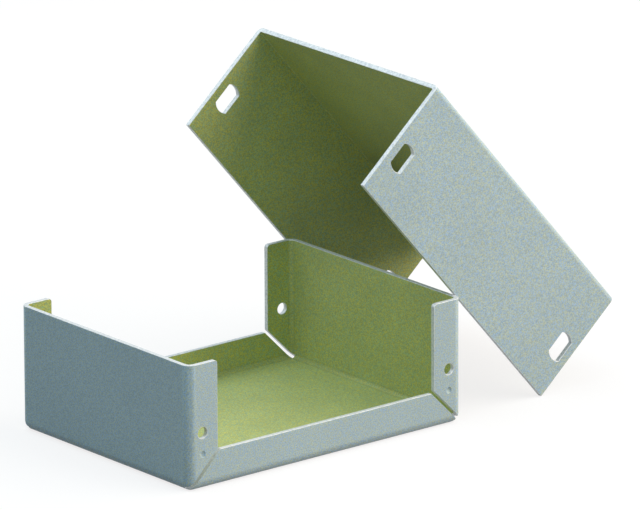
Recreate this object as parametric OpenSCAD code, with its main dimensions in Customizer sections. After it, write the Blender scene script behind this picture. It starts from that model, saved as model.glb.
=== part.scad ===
// Small two-part aluminium enclosure: a folded tray, with its folded cover taken off and
// leaning on the tray's back wall. Millimetres, +Z up, origin at the middle of the tray's underside.

/* [Closed box] */
// Length of the closed box, over the cover
box_l = 72; // [60:1:160]
// Width of the closed box, over the cover's sides
box_w = 57; // [45:1:120]
// Height of the closed box
box_h = 28; // [24:0.5:60]

/* [Sheet] */
// Thickness of the aluminium sheet
sheet_t = 1; // [0.6:0.1:1.5]
// Inside radius of the tray's bends
bend_r = 1; // [0.5:0.1:1.5]
// Inside radius of the cover's two bends
cover_bend_r = 0.3; // [0.2:0.1:1.5]

/* [Fit of the cover] */
// Room at each end between a wall of the tray and the cover's end edge
end_clear = 0.3; // [0.1:0.05:1]
// Room at each side between a lip of the tray and the cover's side
side_clear = 0.25; // [0.1:0.05:0.8]
// Room between an ear's top edge and the inside of the cover's bend over it
top_clear = 0.5; // [0.05:0.05:1]
// Height of the cover's lower edges above the underside when closed
cover_lift = 1.8; // [1:0.1:4]

/* [Tray] */
// Height of the lips along the two long sides
lip_h = 7.7; // [5:0.1:12]
// Width of the ears folded in from the end walls
ear_w = 7.5; // [6.5:0.1:12]
// Radius of the free top corner of an ear
ear_corner_r = 0.8; // [0.3:0.1:1.5]
// Width of the mitred slit between an ear and a lip
mitre_slit = 0.8; // [0.4:0.1:1.2]

/* [Screw fixings] */
// Diameter of the screw hole in each ear
hole_d = 2.4; // [1.6:0.1:3.2]
// Distance from a wall's outer face to the middle of the screw hole
hole_inset = 3.6; // [2.8:0.1:4.5]
// Height of the screw holes above the underside
hole_z = 12; // [10.5:0.5:18]
// Distance between the two flats of a slot in the cover, along its length
slot_w = 3.8; // [2.5:0.1:4.5]
// Diameter of the round ends of a slot, along the cover's height
slot_l = 6.1; // [5:0.1:8]
// Diameter of the punch mark under each screw hole
mark_d = 1.4; // [0.6:0.1:1.6]
// Depth of the punch mark
mark_depth = 0.3; // [0.1:0.05:0.4]
// Distance of the punch mark below its screw hole
mark_drop = 4.5; // [3:0.5:6]

/* [Leaning cover] */
// Tilt of the cover's length from level, in degrees
cover_tilt = 49; // [42:1:56]
// Gap left where the edge of one side leans on the back wall
lean_gap = 0.05; // [0.02:0.01:0.3]
// Distance of that side from the ear's bend beside it, along the wall
lean_inset = 0.25; // [0:0.05:5]

/* [Hidden] */
$fn = 64;

paint = [0.60, 0.67, 0.70];
// Extra length of a cutting shape past the face it cuts
over = 1;

bend_out = bend_r + sheet_t;
cover_bend_out = cover_bend_r + sheet_t;
tray_l = box_l - 2 * end_clear;
tray_w = box_w - 2 * (sheet_t + side_clear);
// Drop of the inside of the cover's bend, from its top to where it passes an ear's outer face
bend_drop = cover_bend_r - sqrt(pow(cover_bend_r, 2) - pow(max(0, cover_bend_r - side_clear), 2));
wall_h = box_h - sheet_t - bend_drop - top_clear;
// Size of the flat floor between its bends
flat_l = tray_l - 2 * bend_out;
flat_w = tray_w - 2 * bend_out;

side_h = box_h - cover_lift;
// The slots line up with the screw holes when the box is closed
slot_inset = hole_inset + end_clear;
slot_z = hole_z - cover_lift;

// Place of the cover's lower corners on the bench: behind the back wall, and moved along it
// until the near side's edge crosses the wall's flat top beside the ear
lean_x = tray_l / 2 + (wall_h * cos(cover_tilt) + lean_gap) / sin(cover_tilt);
lean_y = (box_w - flat_w) / 2 + lean_inset;

// Section of a bend with this inside radius: a quarter ring from +X to +Y about the origin
module bend_section(inside) {
    outside = inside + sheet_t;
    intersection() {
        difference() {
            circle(r = outside);
            circle(r = inside);
        }
        square(outside);
    }
}

// Bend along one edge of the floor, which runs along X at y = 0 with the flange rising at +Y
module floor_bend(edge_l) {
    translate([0, 0, bend_out])
        rotate([90, 0, 90])
            linear_extrude(edge_l, center = true)
                mirror([0, 1])
                    bend_section(bend_r);
}

// Upright plate whose outer face is at y = bend_out, cut from an outline in X and Z
module flange_plate() {
    translate([0, bend_out, 0])
        rotate([90, 0, 0])
            linear_extrude(sheet_t)
                children();
}

// Low lip along a long side, with its ends cut at 45 degrees
module lip() {
    foot = flat_l / 2;
    top = foot - (lip_h - bend_out);
    floor_bend(flat_l);
    flange_plate()
        polygon([[-foot, bend_out], [foot, bend_out], [top, lip_h], [-top, lip_h]]);
}

// Outline of an ear, whose lower edge rises at 45 degrees: X from the wall's outer face, Y up
module ear_outline() {
    difference() {
        polygon([[bend_out, bend_out], [ear_w, ear_w], [ear_w, wall_h], [bend_out, wall_h]]);
        translate([ear_w - ear_corner_r, wall_h - ear_corner_r])
            difference() {
                square(ear_corner_r + over);
                circle(r = ear_corner_r);
            }
    }
}

// Ear on the +X end of a wall, with the bend that joins it to the wall
module ear() {
    translate([flat_w / 2, 0, bend_out])
        linear_extrude(wall_h - bend_out)
            bend_section(bend_r);
    translate([flat_w / 2 + bend_out, bend_out, 0])
        rotate([90, 0, -90])
            linear_extrude(sheet_t)
                ear_outline();
}

// Round corner on the +X end of a wall, where the ear's bend meets the bends of the floor
module corner() {
    translate([flat_w / 2, 0, bend_out])
        intersection() {
            difference() {
                sphere(r = bend_out);
                sphere(r = bend_r);
            }
            translate([0, 0, -bend_out])
                cube(bend_out);
        }
}

// End wall with its two ears, and the bends that join it to the floor
module end_wall() {
    floor_bend(flat_w);
    flange_plate()
        translate([-flat_w / 2, bend_out])
            square([flat_w, wall_h - bend_out]);
    for (flip = [0, 1])
        mirror([flip, 0, 0]) {
            corner();
            ear();
        }
}

// Slits at 45 degrees that part the two ears of one end from the lips, round the corner to the floor
module slits() {
    run = sqrt(2) * max(ear_w, lip_h) + mitre_slit;
    for (flip = [0, 1])
        mirror([0, flip, 0])
            translate([tray_l / 2, flat_w / 2, 0])
                rotate([0, -45, 0])
                    translate([-mitre_slit / 2, 0, 0])
                        cube([mitre_slit, bend_out + over, run]);
}

// Shallow round punch mark in a face at y = 0 that looks along +Y
module punch_mark() {
    ball_r = (mark_d * mark_d / 4 + mark_depth * mark_depth) / (2 * mark_depth);
    translate([0, ball_r - mark_depth, 0])
        sphere(r = ball_r);
}

// Screw holes through the two ears of one end, and the mark under each
module ear_holes() {
    translate([tray_l / 2 - hole_inset, 0, hole_z]) {
        rotate([90, 0, 0])
            cylinder(d = hole_d, h = tray_w + 2 * over, center = true);
        for (flip = [0, 1])
            mirror([0, flip, 0])
                translate([0, tray_w / 2, -mark_drop])
                    punch_mark();
    }
}

module base_tray() {
    color(paint)
        difference() {
            union() {
                translate([-flat_l / 2, -flat_w / 2, 0])
                    cube([flat_l, flat_w, sheet_t]);
                for (flip = [0, 1]) {
                    mirror([0, flip, 0])
                        translate([0, flat_w / 2, 0])
                            lip();
                    mirror([flip, 0, 0])
                        translate([flat_l / 2, 0, 0])
                            rotate([0, 0, -90])
                                end_wall();
                }
            }
            for (flip = [0, 1])
                mirror([flip, 0, 0]) {
                    slits();
                    ear_holes();
                }
        }
}

// Section of the cover: X across, Y up from the lower edges of its sides
module cover_section() {
    flat = box_w - 2 * cover_bend_out;
    translate([-flat / 2, side_h - sheet_t])
        square([flat, sheet_t]);
    for (flip = [0, 1])
        mirror([flip, 0]) {
            translate([flat / 2, side_h - cover_bend_out])
                bend_section(cover_bend_r);
            translate([box_w / 2 - sheet_t, 0])
                square([sheet_t, side_h - cover_bend_out]);
        }
}

// Outline of a slot, a round hole with two flats: X along the cover, Y up
module slot_outline() {
    intersection() {
        circle(d = slot_l);
        square([slot_w, slot_l], center = true);
    }
}

// Slots through both sides of the cover at its +X end
module cover_slots() {
    translate([box_l / 2 - slot_inset, 0, slot_z])
        rotate([90, 0, 0])
            linear_extrude(box_w + 2 * over, center = true)
                slot_outline();
}

// The cover as it sits on the closed box, with its lower edges on z = 0
module cover_shell() {
    difference() {
        rotate([90, 0, 90])
            linear_extrude(box_l, center = true)
                cover_section();
        for (flip = [0, 1])
            mirror([flip, 0, 0])
                cover_slots();
    }
}

// Leaning: the lower corners of both sides stand on the bench, and the edge of the near side
// rests on the top of the back wall
module cover() {
    color(paint)
        translate([lean_x, lean_y, 0])
            rotate([0, cover_tilt, 0])
                translate([-box_l / 2, 0, 0])
                    cover_shell();
}

base_tray();
cover();
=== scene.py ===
# Looks of a small two-part aluminium enclosure: grey paint outside, yellow chromate inside and
# bare metal on the cut edges of the sheet. Lengths are in metres, in the frame of the solids.
import math

import bpy
from mathutils import Matrix, Vector
from mathutils.bvhtree import BVHTree

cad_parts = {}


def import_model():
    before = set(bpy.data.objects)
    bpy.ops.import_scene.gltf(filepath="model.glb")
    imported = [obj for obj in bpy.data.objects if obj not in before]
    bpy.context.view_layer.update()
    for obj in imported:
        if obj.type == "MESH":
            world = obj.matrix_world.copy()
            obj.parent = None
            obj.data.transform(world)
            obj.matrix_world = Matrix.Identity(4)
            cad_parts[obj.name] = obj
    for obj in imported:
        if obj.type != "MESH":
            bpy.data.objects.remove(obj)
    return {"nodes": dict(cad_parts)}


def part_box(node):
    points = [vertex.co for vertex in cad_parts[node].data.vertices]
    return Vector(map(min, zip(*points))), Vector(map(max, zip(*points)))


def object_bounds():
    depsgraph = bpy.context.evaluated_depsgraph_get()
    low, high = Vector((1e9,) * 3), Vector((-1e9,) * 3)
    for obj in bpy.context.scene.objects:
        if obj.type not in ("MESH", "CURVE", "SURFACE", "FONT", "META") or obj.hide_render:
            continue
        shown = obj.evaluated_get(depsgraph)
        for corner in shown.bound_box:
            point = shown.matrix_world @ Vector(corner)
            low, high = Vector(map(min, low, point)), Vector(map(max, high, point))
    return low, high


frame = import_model()
cad_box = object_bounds()

MM = 0.001

# Sheet metal
SHEET_T = 1.0 * MM
# Material slots of a folded sheet, where FOLD is the inside of a bend, which gets painted shade
OUTSIDE, INSIDE, CUT_EDGE, FOLD = range(4)
# A smooth face of a solid is a side of the sheet if at least this share of it has a parallel
# face behind it, not much further away than the sheet is thick
SKIN_SHARE = 0.1
SKIN_REACH = 1.25 * SHEET_T
PARALLEL = -0.9
# The search for that face starts this far below the surface
SKIN_START = SHEET_T / 100
# A side of the sheet is bent if its faces turn by more than this angle
BENT = math.radians(10)

# Rounding of the sheet's cut edges
EDGE_ROUND = 0.1 * MM
ROUND_STEPS = 2
# Edges are rounded above these heights: on the tray, above the tight corners where its bends meet,
# and on the cover everywhere
ROUND_ABOVE = {"base_tray": 3 * MM, "cover": -1 * MM}
# A cut edge of the sheet is square to its sides, to within this angle
SQUARE = math.radians(0.2)
# Corners that agree to this many decimals are in one place
PLACE_DIGITS = 7
# Before the rounding, corners this close are joined, and faces this near to flat become one
WELD_REACH = SHEET_T / 1000
FLAT_ANGLE = math.radians(1)

# Image and camera, at the photograph's viewing angle
IMAGE_W, IMAGE_H = 640, 510
VIEW_AZIMUTH = math.radians(-39.4)
VIEW_ELEVATION = math.radians(17.2)
VIEW_ROLL = math.radians(-0.25)
SENSOR_W = 36.0
FOCAL_PX = 10000
# Largest share of the image that the object takes up, each way
SPAN_W = 0.93
SPAN_H = 0.90
# The camera sees this many times as far as the object is away
SIGHT = 10

# Light: warm from the key lamp and cool from elsewhere. A level of about 1 shows a white face
# as white
WHITE = (1, 1, 1)
WARM = (1.06, 0.95, 0.82)
COOL = (0.74, 0.98, 1.09)
MILD = (0.84, 0.98, 1.0)
WORLD_LEVEL = 0.06
LAMP_DISTANCE = 1.0
LAMP_SIZE = 1.6
# Each lamp's name, level, tint, azimuth and elevation, with the angles in degrees
LAMPS = [
    ("key", 1.80, WARM, 48, 25),
    ("fill", 0.315, COOL, -45, 45),
    ("rear", 0.86, MILD, -150, 65),
]

# Floor, which glows for the camera so that it runs into the white surroundings
FLOOR_SIZE = 6.0
# It lies this far under the object, so that no faces share a place
FLOOR_DROP = 0.02 * MM
FLOOR_COLOUR = (0.22, 0.23, 0.235)
FLOOR_GLOW = (0.795, 0.78, 0.78)

# Grain of the paint and of the chromate film: the hue wavers, and finer specks are darker
GRAIN = 0.3 * MM
SPECK = GRAIN / 1.3
# Share of the dark tone in the darkest specks
SPECK_SHARE = 0.7
# Stretches of a noise's range, from 0 to 1, over which the looks change
HUE_RANGE = (0.36, 0.64)
SPECK_RANGE = (0.38, 0.72)
CLOUD_RANGE = (0.35, 0.65)
GLOSS_RANGE = (0.3, 0.7)

# Paint
PAINT_COOL = (0.41, 0.60, 0.83)
PAINT_WARM = (0.63, 0.69, 0.51)
PAINT_DARK = (0.25, 0.33, 0.39)
PAINT_CLOUD = 22 * MM
PAINT_CLOUD_SHARE = 0.1
PAINT_RELIEF = 0.01 * MM
PAINT_ROUGH = (0.40, 0.52)

# Chromate film. In the folds its tones are made darker, which is painted shade
CHROMATE_GREEN = Vector((0.45, 0.61, 0.335))
CHROMATE_GOLD = Vector((0.735, 0.68, 0.14))
CHROMATE_DARK = Vector((0.245, 0.29, 0.16))
CHROMATE_CLOUD = 11 * MM
CHROMATE_CLOUD_SHARE = 0.15
CHROMATE_RELIEF = 0.008 * MM
CHROMATE_ROUGH = (0.50, 0.58)
# Factor on the film's tones inside the folds: painted shade
FOLD_PAINTED_SHADE = 0.86

# Bare cut edges
EDGE_LIGHT = (0.78, 0.80, 0.82)
EDGE_DARK = (0.48, 0.52, 0.58)
EDGE_GRAIN = 0.5 * MM
EDGE_RANGE = (0.4, 0.75)
EDGE_RELIEF = 0.02 * MM
EDGE_ROUGH = (0.30, 0.50)

# Sockets of a node that mixes colours, where the names repeat
MIX_FACTOR, MIX_FIRST, MIX_SECOND, MIX_RESULT = 0, 6, 7, 2


class Nodes:
    """Short way to write the nodes of one material or of the world."""

    def __init__(self, tree):
        self.tree = tree
        tree.nodes.clear()

    def add(self, kind, links=None, **settings):
        """Adds a node. Settings are its own values or its inputs' values, by name."""
        node = self.tree.nodes.new(kind)
        for name, value in settings.items():
            if hasattr(node, name):
                setattr(node, name, value)
            else:
                node.inputs[name.replace("_", " ")].default_value = value
        for place, source in (links or {}).items():
            self.link(source, node, place)
        return node

    def link(self, source, node, place):
        """Joins a socket, or a node's first output, to the input with this name or number."""
        socket = source if isinstance(source, bpy.types.NodeSocket) else source.outputs[0]
        self.tree.links.new(socket, node.inputs[place])

    def noise(self, size, detail=2.0, rough=0.5):
        """Soft noise over the solid's own coordinates, with features of about this size."""
        place = self.add("ShaderNodeTexCoord").outputs["Object"]
        links = {"Vector": place}
        node = self.add("ShaderNodeTexNoise", links, Scale=1 / size, Detail=detail, Roughness=rough)
        return node.outputs["Fac"]

    def levels(self, source, result, stretch=(0, 1)):
        """Maps a stretch of a value's range to the range of the result, and keeps it there."""
        node = self.add(
            "ShaderNodeMapRange",
            {"Value": source},
            clamp=True,
            From_Min=stretch[0],
            From_Max=stretch[1],
            To_Min=result[0],
            To_Max=result[1],
        )
        return node.outputs["Result"]

    def blend(self, factor, first, second):
        """Mixes two colours, each a colour or a socket."""
        node = self.add("ShaderNodeMix", {MIX_FACTOR: factor}, data_type="RGBA")
        for place, colour in ((MIX_FIRST, first), (MIX_SECOND, second)):
            if isinstance(colour, bpy.types.NodeSocket):
                self.link(colour, node, place)
            else:
                node.inputs[place].default_value = (*colour, 1)
        return node.outputs[MIX_RESULT]

    def mottle(self, first, second, dark, cloud, cloud_share):
        """Colour that wavers between two tones, with dark specks and patches, and the specks' noise."""
        hue = self.noise(GRAIN, detail=1.0)
        specks = self.noise(SPECK, detail=1.0)
        colour = self.blend(self.levels(hue, (0, 1), HUE_RANGE), first, second)
        colour = self.blend(self.levels(specks, (0, SPECK_SHARE), SPECK_RANGE), colour, dark)
        colour = self.blend(self.levels(cloud, (0, cloud_share), CLOUD_RANGE), colour, dark)
        return colour, specks

    def surface(self, colour, rough, height, relief, **settings):
        """The material's shader, with a surface relief of this depth, joined to its output."""
        bump = self.add("ShaderNodeBump", {"Height": height}, Distance=relief)
        links = {"Base Color": colour, "Roughness": rough, "Normal": bump}
        shader = self.add("ShaderNodeBsdfPrincipled", links, **settings)
        self.add("ShaderNodeOutputMaterial", {"Surface": shader})


def new_material(name):
    """An empty material, and its nodes."""
    material = bpy.data.materials.new(name)
    material.use_nodes = True
    return material, Nodes(material.node_tree)


# Materials

def paint():
    """Satin grey stove enamel with a fine mottled grain."""
    material, nodes = new_material("grey_paint")
    cloud = nodes.noise(PAINT_CLOUD)
    colour, specks = nodes.mottle(PAINT_COOL, PAINT_WARM, PAINT_DARK, cloud, PAINT_CLOUD_SHARE)
    rough = nodes.levels(specks, PAINT_ROUGH, GLOSS_RANGE)
    nodes.surface(colour, rough, specks, PAINT_RELIEF, Specular_IOR_Level=0.2)
    return material


def chromate(name, shade):
    """Yellow-green chromate film on rolled aluminium, with soft patches. Its tones are scaled by the
    given factor, which paints shade into the folds when it is below 1.
    """
    material, nodes = new_material(name)
    tones = [shade * tone for tone in (CHROMATE_GREEN, CHROMATE_GOLD, CHROMATE_DARK)]
    cloud = nodes.noise(CHROMATE_CLOUD, detail=3.0)
    colour, specks = nodes.mottle(*tones, cloud, CHROMATE_CLOUD_SHARE)
    rough = nodes.levels(cloud, CHROMATE_ROUGH, GLOSS_RANGE)
    nodes.surface(colour, rough, specks, CHROMATE_RELIEF, Metallic=0.05, Specular_IOR_Level=0.15)
    return material


def bare_edge():
    """Sheared aluminium with short bright and dull stretches."""
    material, nodes = new_material("cut_aluminium")
    grain = nodes.noise(EDGE_GRAIN, detail=3.0, rough=0.7)
    colour = nodes.blend(nodes.levels(grain, (0, 1), EDGE_RANGE), EDGE_LIGHT, EDGE_DARK)
    rough = nodes.levels(grain, EDGE_ROUGH, GLOSS_RANGE)
    nodes.surface(colour, rough, grain, EDGE_RELIEF, Metallic=0.2)
    return material


# Sheet metal parts

def face_groups(mesh):
    """Lists of face numbers, one for each smooth face of the solid: only these share corners."""
    group_of = {}
    members = {}
    for face in mesh.polygons:
        joined = {group_of[v] for v in face.vertices if v in group_of}
        key = min(joined, default=face.index)
        faces = [face.index]
        for other in joined:
            faces += members.pop(other)
        members[key] = faces
        for index in faces:
            for v in mesh.polygons[index].vertices:
                group_of[v] = key
    return list(members.values())


def has_other_side(tree, face):
    """True if a parallel face lies behind this one, about a sheet's thickness away."""
    start = face.center - face.normal * SKIN_START
    place, normal, _, _ = tree.ray_cast(start, -face.normal, SKIN_REACH)
    return place is not None and normal.dot(face.normal) < PARALLEL


def sort_faces(node):
    """Gives each face of a folded sheet its material: outside, inside, cut edge or inside of a fold,
    which has painted shade.
    """
    mesh = frame["nodes"][node].data
    low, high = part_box(node)
    hollow = (low + high) / 2
    tree = BVHTree.FromPolygons([v.co for v in mesh.vertices], [f.vertices for f in mesh.polygons])
    for group in face_groups(mesh):
        faces = [mesh.polygons[i] for i in group]
        area = sum(f.area for f in faces)
        backed = sum(f.area for f in faces if has_other_side(tree, f))
        facing = sum(f.area * f.normal.dot(hollow - f.center) for f in faces)
        bent = any(f.normal.angle(faces[0].normal, 0) > BENT for f in faces)
        side = (FOLD if bent else INSIDE) if facing > 0 else OUTSIDE
        for face in faces:
            face.material_index = side if backed > SKIN_SHARE * area else CUT_EDGE


def mark_sharp_edges(mesh, lowest):
    """Marks the sharp edges that stand out, where two smooth faces of the solid meet."""
    number = {edge.key: edge.index for edge in mesh.edges}
    meetings = {}
    for face in (f for f in mesh.polygons if f.area > 0):
        for key in face.edge_keys:
            ends = frozenset(mesh.vertices[v].co.to_tuple(PLACE_DIGITS) for v in key)
            meetings.setdefault(ends, []).append((number[key], face))
    weights = mesh.attributes.new("bevel_weight_edge", "FLOAT", "EDGE").data
    for pair in (p for p in meetings.values() if len(p) == 2):
        (first, one), (second, other) = pair
        square = abs(one.normal.angle(other.normal) - math.pi / 2) < SQUARE
        stands_out = one.normal.dot(other.center - one.center) < 0
        high = all(mesh.vertices[v].co.z > lowest for v in mesh.edges[first].vertices)
        weights[first].value = weights[second].value = float(square and stands_out and high)


def dress(node, materials):
    """Puts the materials on a sheet metal part and takes the sharpness off its edges."""
    part = frame["nodes"][node]
    part.data.materials.clear()
    for material in materials:
        part.data.materials.append(material)
    sort_faces(node)
    mark_sharp_edges(part.data, ROUND_ABOVE[node])
    weld = part.modifiers.new("weld", "WELD")
    weld.merge_threshold = WELD_REACH
    flat = part.modifiers.new("flat", "DECIMATE")
    flat.decimate_type = "DISSOLVE"
    flat.angle_limit = FLAT_ANGLE
    flat.delimit = {"MATERIAL"}
    bevel = part.modifiers.new("bevel", "BEVEL")
    bevel.width = EDGE_ROUND
    bevel.segments = ROUND_STEPS
    bevel.limit_method = "WEIGHT"
    bevel.use_clamp_overlap = False
    bevel.loop_slide = False
    bevel.harden_normals = True
    bevel.material = CUT_EDGE


# Stage

def seen_ray(nodes):
    """1 for a ray from the camera, or one that gloss or glass sends on, and 0 for other light."""
    path = nodes.add("ShaderNodeLightPath")
    total = path.outputs["Is Camera Ray"]
    for name in ("Is Glossy Ray", "Is Transmission Ray"):
        total = nodes.add("ShaderNodeMath", {0: total, 1: path.outputs[name]}, operation="MAXIMUM")
    return total


def floor():
    """Plain pale floor, which keeps the shadow."""
    half = FLOOR_SIZE / 2
    mesh = bpy.data.meshes.new("floor")
    corners = [(-half, -half, 0), (half, -half, 0), (half, half, 0), (-half, half, 0)]
    mesh.from_pydata(corners, [], [(0, 1, 2, 3)])
    plane = bpy.data.objects.new("floor", mesh)
    plane.location.z = -FLOOR_DROP
    bpy.context.scene.collection.objects.link(plane)
    material, nodes = new_material("pale_floor")
    diffuse = nodes.add("ShaderNodeBsdfDiffuse", Color=(*FLOOR_COLOUR, 1))
    glow = nodes.add("ShaderNodeEmission", {"Strength": seen_ray(nodes)}, Color=(*FLOOR_GLOW, 1))
    both = nodes.add("ShaderNodeAddShader", {0: diffuse, 1: glow})
    nodes.add("ShaderNodeOutputMaterial", {"Surface": both})
    mesh.materials.append(material)


def world():
    """Even white surroundings that light the object softly."""
    studio = bpy.data.worlds.new("studio")
    studio.use_nodes = True
    bpy.context.scene.world = studio
    nodes = Nodes(studio.node_tree)
    seen = seen_ray(nodes)
    colour = nodes.blend(seen, COOL, WHITE)
    strength = nodes.levels(seen, (WORLD_LEVEL, 1))
    back = nodes.add("ShaderNodeBackground", {"Color": colour, "Strength": strength})
    nodes.add("ShaderNodeOutputWorld", {"Surface": back})


def direction(azimuth, elevation):
    """Unit vector from the object: azimuth 0 is towards -Y, and 90 degrees towards +X."""
    flat = math.cos(elevation)
    return Vector((math.sin(azimuth) * flat, -math.cos(azimuth) * flat, math.sin(elevation)))


def soft_lamp(name, level, tint, away):
    """Large round lamp that looks at the object from the direction given."""
    light = bpy.data.lights.new(name, "AREA")
    light.shape = "DISK"
    light.size = LAMP_SIZE
    light.color = tint
    light.energy = level * (math.pi * LAMP_DISTANCE) ** 2
    lamp = bpy.data.objects.new(name, light)
    lamp.location = (cad_box[0] + cad_box[1]) / 2 + away * LAMP_DISTANCE
    lamp.rotation_euler = away.to_track_quat("Z", "Y").to_euler()
    bpy.context.scene.collection.objects.link(lamp)


def camera():
    """Long lens at the photograph's angle, with the object in the middle of the image."""
    back = direction(VIEW_AZIMUTH, VIEW_ELEVATION)
    right = Vector((math.cos(VIEW_AZIMUTH), math.sin(VIEW_AZIMUTH), 0))
    up = back.cross(right)
    points = [v.co for part in frame["nodes"].values() for v in part.data.vertices]
    across = [p.dot(right) for p in points]
    along = [p.dot(up) for p in points]
    wide = max(across) - min(across)
    tall = max(along) - min(along)
    scale = min(SPAN_W * IMAGE_W / wide, SPAN_H * IMAGE_H / tall)
    depth = sum(p.dot(back) for p in points) / len(points)
    target = right * (min(across) + wide / 2) + up * (min(along) + tall / 2) + back * depth
    distance = FOCAL_PX / scale
    lens = bpy.data.cameras.new("camera")
    lens.sensor_width = SENSOR_W
    lens.lens = FOCAL_PX / IMAGE_W * SENSOR_W
    lens.clip_end = SIGHT * distance
    eye = bpy.data.objects.new("camera", lens)
    turn = Matrix((right, up, back)).transposed().to_4x4() @ Matrix.Rotation(VIEW_ROLL, 4, "Z")
    eye.matrix_world = Matrix.Translation(target + back * distance) @ turn
    bpy.context.scene.collection.objects.link(eye)
    bpy.context.scene.camera = eye


# In the order of the material slots
finishes = [
    paint(),
    chromate("yellow_chromate", 1),
    bare_edge(),
    # Chromate with painted shade, for the insides of the folds
    chromate("fold_chromate_painted_shade", FOLD_PAINTED_SHADE),
]
for node in frame["nodes"]:
    dress(node, finishes)
camera()
floor()
world()
for name, level, tint, azimuth, elevation in LAMPS:
    soft_lamp(name, level, tint, direction(math.radians(azimuth), math.radians(elevation)))
bpy.context.scene.view_settings.view_transform = "Standard"
